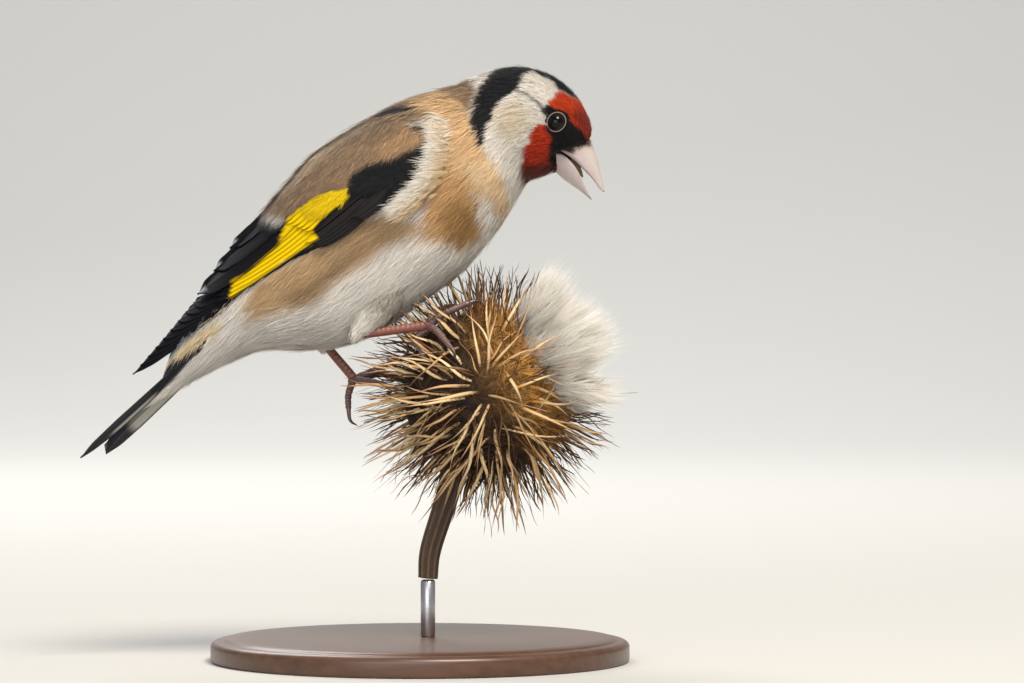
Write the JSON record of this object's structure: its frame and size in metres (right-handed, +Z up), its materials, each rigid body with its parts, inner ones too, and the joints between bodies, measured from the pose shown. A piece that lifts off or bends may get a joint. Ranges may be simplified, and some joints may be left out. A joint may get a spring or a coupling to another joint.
{
  "type": "european goldfinch",
  "caption": "Life-size still model of an adult European goldfinch leaning forward, gripping a ripe thistle head on a short cut stem, held by a plain disc stand with one rod.",
  "frame": {"origin": "centre of the stand base's underside, which stands on the floor", "axes": "+Z up, +X the way the bird faces, +Y the bird's left side"},
  "size_m": [0.1123, 0.086, 0.1218],
  "materials": {
    "body_feather": "soft small body feathers, buff brown above and off white below",
    "head_feather": "short dense feathers, red mask, white cheek and black crown",
    "wing_feather": "satin black flight feathers with a bright yellow band and white tips",
    "tail_feather": "satin black tail feathers with pale undersides",
    "bill_horn": "pale pinkish horn, satin, dark at the tip",
    "eye": "wet dark brown eye",
    "leg_scale": "scaly pinkish brown skin",
    "claw": "dark satin horn",
    "thistle_bract": "dry straw-brown spiny bracts",
    "thistle_down": "white silky seed down",
    "thistle_stem": "ridged purple-brown and green stem",
    "stand_wood": "turned dark wood, satin varnish",
    "stand_steel": "plain brushed steel rod"
  },
  "bodies": {
    "root": {"bill_lower": "bill_horn", "bill_upper": "bill_horn", "claw_left_hind": "claw", "claw_left_inner": "claw", "claw_left_middle": "claw", "claw_left_outer": "claw", "claw_right_hind": "claw", "claw_right_inner": "claw", "claw_right_middle": "claw", "claw_right_outer": "claw", "eye_left": "eye", "eye_right": "eye", "foot_left": "leg_scale", "foot_right": "leg_scale", "head": "head_feather", "neck": "body_feather", "perch_down": "thistle_down", "perch_head": "thistle_bract", "perch_stem": "thistle_stem", "rump": "body_feather", "shank_left": "leg_scale", "shank_right": "leg_scale", "stand_base": "stand_wood", "stand_rod": "stand_steel", "tail": "tail_feather", "thigh_left": "body_feather", "thigh_right": "body_feather", "torso": "body_feather", "wing_left": "wing_feather", "wing_right": "wing_feather"}
  },
  "joints": []
}
